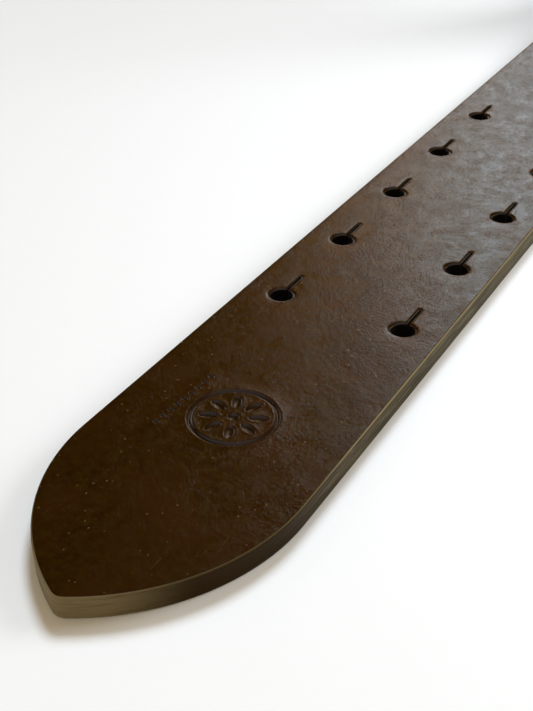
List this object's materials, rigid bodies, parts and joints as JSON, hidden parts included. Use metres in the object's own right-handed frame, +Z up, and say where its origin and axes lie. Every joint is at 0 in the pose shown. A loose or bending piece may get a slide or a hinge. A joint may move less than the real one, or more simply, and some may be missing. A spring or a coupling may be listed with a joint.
{
  "type": "leather belt",
  "caption": "Thick leather waist belt with paired rows of keyholes, a double-tongue brass buckle, ball studs and a sliding keeper, loosely looped with its tip laid flat.",
  "frame": {"origin": "on the surface that the belt lies on, below the middle of its overall box", "axes": "+X along the strap from the tip towards the loop, +Y across the strap, +Z up"},
  "size_m": [0.512, 0.052, 0.1336],
  "materials": {
    "strap_leather": "dark brown full-grain leather, waxed, with burnished edges",
    "keeper_leather": "dark brown leather, waxed",
    "cast_brass": "solid cast brass, polished and a little worn",
    "turned_brass": "turned solid brass, satin",
    "staple_wire": "brass-plated wire"
  },
  "bodies": {
    "belt": {"strap": "strap_leather", "screw_post_left": "turned_brass", "screw_post_right": "turned_brass", "screw_cap_left": "turned_brass", "screw_cap_right": "turned_brass", "stud_ball_left": "turned_brass", "stud_ball_right": "turned_brass", "stud_screw_left": "turned_brass", "stud_screw_right": "turned_brass"},
    "buckle": {"buckle_frame": "cast_brass", "hinge_bar": "turned_brass"},
    "tongue_left": {"tongue_left": "cast_brass"},
    "tongue_right": {"tongue_right": "cast_brass"},
    "keeper": {"keeper_loop": "keeper_leather", "keeper_staple_front": "staple_wire", "keeper_staple_back": "staple_wire"}
  },
  "joints": [
    {"name": "buckle_tilt", "type": "hinge", "parent": "belt", "child": "buckle", "pos_m": [0.159, 0, 0.01], "axis": [0, -1, 0], "range_deg": [0, 50]},
    {"name": "tongue_left_swing", "type": "hinge", "parent": "buckle", "child": "tongue_left", "pos_m": [0.159, 0.0125, 0.01], "axis": [0, -1, 0], "range_deg": [0, 90]},
    {"name": "tongue_right_swing", "type": "hinge", "parent": "buckle", "child": "tongue_right", "pos_m": [0.159, -0.0125, 0.01], "axis": [0, -1, 0], "range_deg": [0, 90]},
    {"name": "keeper_slide", "type": "slide", "parent": "belt", "child": "keeper", "axis": [1, 0, 0], "range_m": [-0.034, 0.012]}
  ]
}
